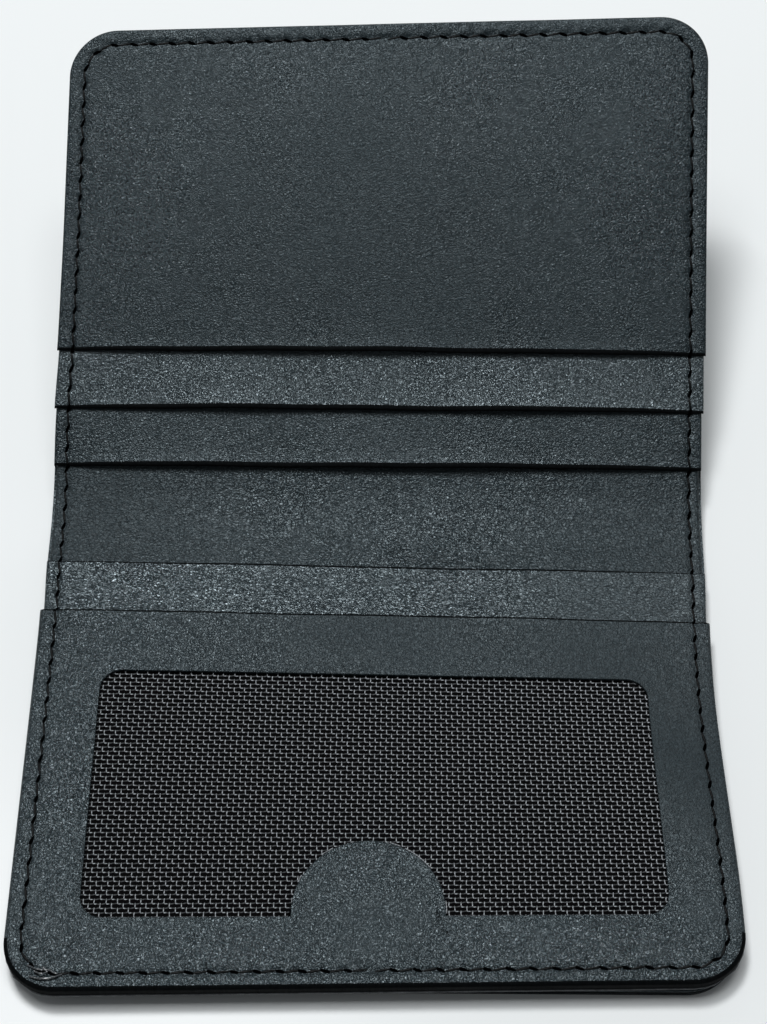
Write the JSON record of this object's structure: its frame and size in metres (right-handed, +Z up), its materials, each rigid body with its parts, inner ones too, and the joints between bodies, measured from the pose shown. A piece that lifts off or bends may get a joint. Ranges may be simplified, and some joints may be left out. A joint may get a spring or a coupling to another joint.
{
  "type": "trifold wallet",
  "caption": "Black leather card wallet lying open: pocket rows on the raised leaf, a pocket and a meshed ID window on the lower leaf, a third leaf beneath, hinged at the fold.",
  "frame": {"origin": "centre of the back leaf's underside, on the table", "axes": "+Z up from the table; X along the fold line; +Y from the lower leaves towards the raised front leaf"},
  "size_m": [0.1006, 0.1469, 0.0402],
  "materials": {
    "outer_leather": "satin pebbled grain",
    "inner_leather": "satin pebbled grain",
    "lining": "plain woven",
    "board": "matte",
    "window_mesh": "open woven mesh with lighter threads",
    "thread": "waxed polyester"
  },
  "bodies": {
    "back_leaf": {"back_cover_leather": "outer_leather", "back_cover_stiffener": "board", "back_note_pocket_lining": "lining", "back_leaf_facing": "inner_leather", "back_leaf_stitching": "thread"},
    "window_leaf": {"window_leaf_rear_leather": "inner_leather", "id_pocket_lining": "lining", "inner_base_window": "inner_leather", "card_pocket_4": "inner_leather", "id_window_mesh": "window_mesh", "id_window_frame": "inner_leather", "window_leaf_stitching": "thread"},
    "front_leaf": {"front_cover_leather": "outer_leather", "front_cover_stiffener": "board", "front_note_pocket_lining": "lining", "inner_base_front": "inner_leather", "card_pocket_3": "inner_leather", "card_pocket_2": "inner_leather", "card_pocket_1": "inner_leather", "front_leaf_stitching": "thread"}
  },
  "joints": [
    {"name": "back_fold", "type": "hinge", "parent": "back_leaf", "child": "window_leaf", "pos_m": [0, 0.0387, 0.0007], "axis": [-1, 0, 0], "range_deg": [0, 175]},
    {"name": "front_fold", "type": "hinge", "parent": "window_leaf", "child": "front_leaf", "pos_m": [0, 0.0387, 0.0048], "axis": [1, 0, 0], "range_deg": [-27.7, 152.3]}
  ]
}
